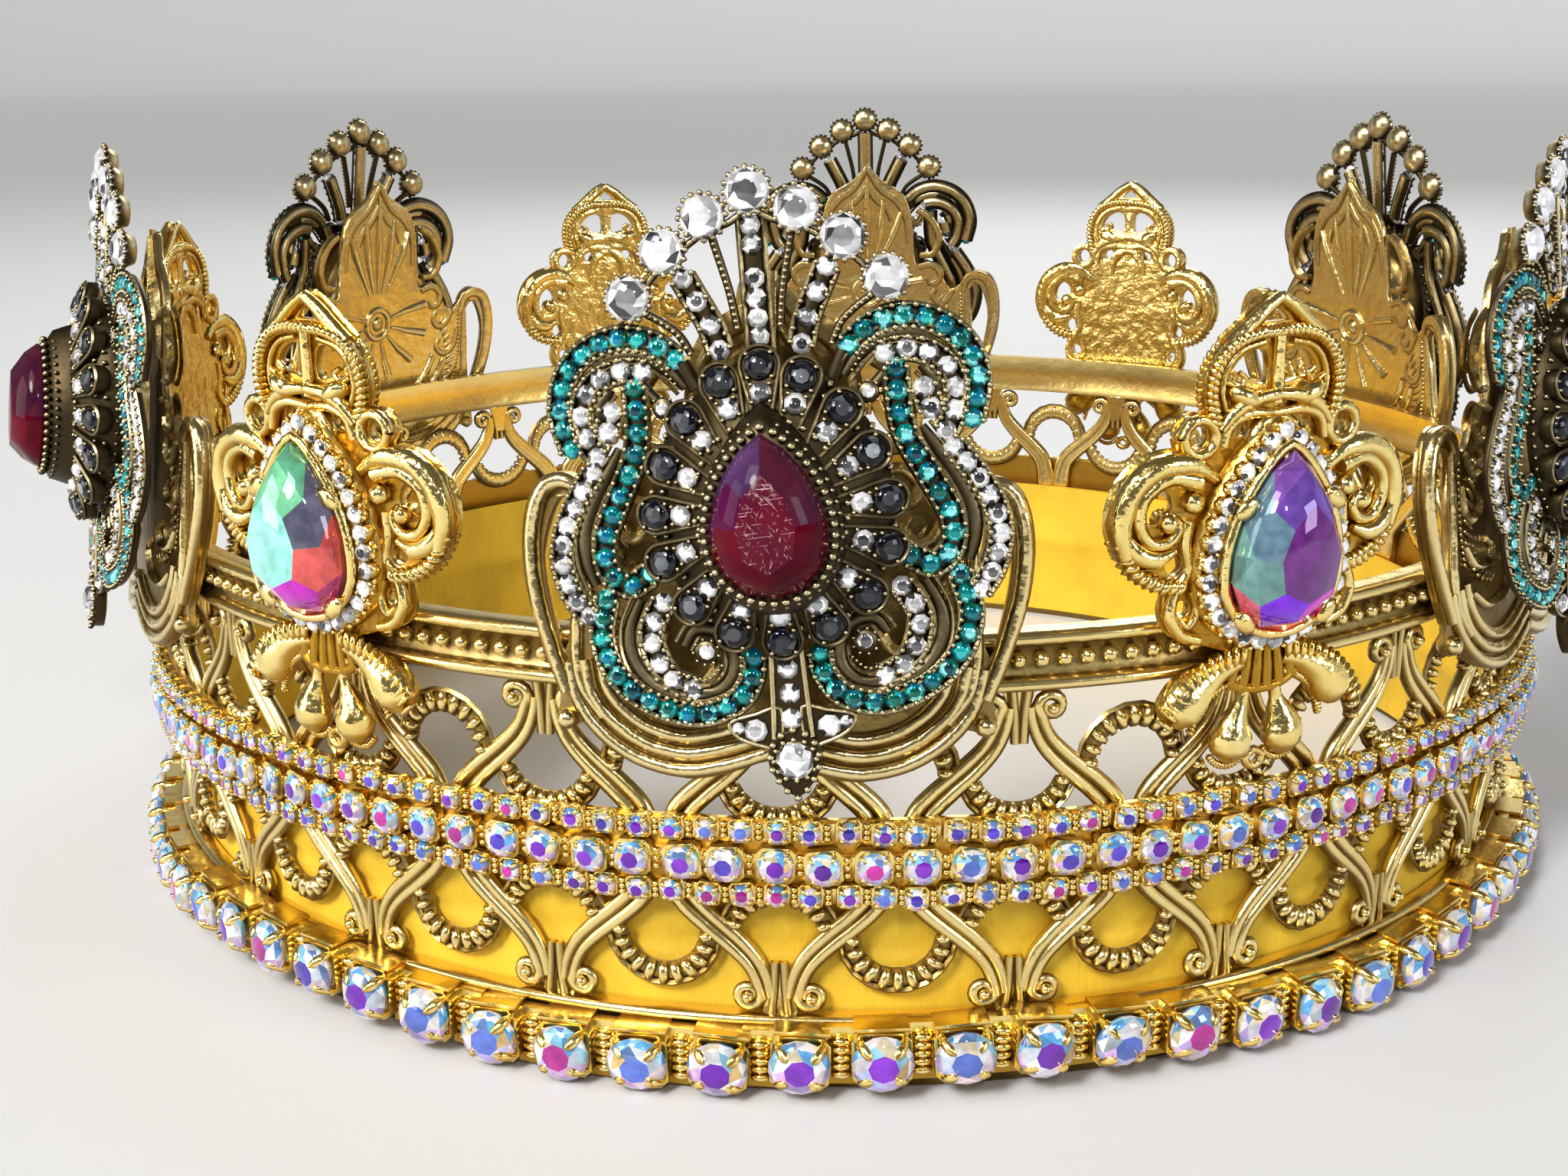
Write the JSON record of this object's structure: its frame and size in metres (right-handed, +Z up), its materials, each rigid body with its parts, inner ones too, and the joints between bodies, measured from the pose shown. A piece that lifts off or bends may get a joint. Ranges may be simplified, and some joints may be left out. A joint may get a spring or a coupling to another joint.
{
  "type": "jeweled crown",
  "caption": "Full-circle gilt crown: pierced scroll wall with rhinestone bands, ruby medallions and fleur ornaments round its rail, and a stone chain round its base",
  "frame": {"origin": "centre of the base, on the surface that the crown rests on", "axes": "+Z up along the crown's axis, -Y towards its front medallion"},
  "size_m": [0.1992, 0.2124, 0.0906],
  "materials": {
    "pale_gold": "polished gilt with darker hollows",
    "bright_gold": "bright polished gilt",
    "antique_gold": "blackened cast metal with worn gilt edges",
    "ruby_stone": "faceted dark red, lightly scratched",
    "aurora_stone": "faceted, foil backed, rainbow coated",
    "clear_stone": "faceted, foil backed, colourless",
    "teal_stone": "faceted, foil backed, teal",
    "black_stone": "faceted, opaque black",
    "ribbon": "smooth woven ribbon, semi-matt"
  },
  "bodies": {
    "root": {"filigree_band": "pale_gold", "lining": "ribbon", "stone_band": "aurora_stone", "base_chain_01": "aurora_stone", "base_chain_02": "aurora_stone", "base_chain_03": "aurora_stone", "base_chain_04": "aurora_stone", "base_chain_05": "aurora_stone", "base_chain_06": "aurora_stone", "base_chain_07": "aurora_stone", "base_chain_08": "aurora_stone", "base_chain_09": "aurora_stone", "base_chain_10": "aurora_stone", "base_chain_11": "aurora_stone", "base_chain_12": "aurora_stone", "frame_1": "pale_gold", "brooch_1": "antique_gold", "ruby_1": "ruby_stone", "fleur_1": "bright_gold", "pear_stone_1": "aurora_stone", "frame_2": "pale_gold", "brooch_2": "antique_gold", "ruby_2": "ruby_stone", "fleur_2": "bright_gold", "pear_stone_2": "aurora_stone", "frame_3": "pale_gold", "brooch_3": "antique_gold", "ruby_3": "ruby_stone", "fleur_3": "bright_gold", "pear_stone_3": "aurora_stone", "frame_4": "pale_gold", "brooch_4": "antique_gold", "ruby_4": "ruby_stone", "fleur_4": "bright_gold", "pear_stone_4": "aurora_stone", "frame_5": "pale_gold", "brooch_5": "antique_gold", "ruby_5": "ruby_stone", "fleur_5": "bright_gold", "pear_stone_5": "aurora_stone", "frame_6": "pale_gold", "brooch_6": "antique_gold", "ruby_6": "ruby_stone", "fleur_6": "bright_gold", "pear_stone_6": "aurora_stone"}
  },
  "joints": []
}
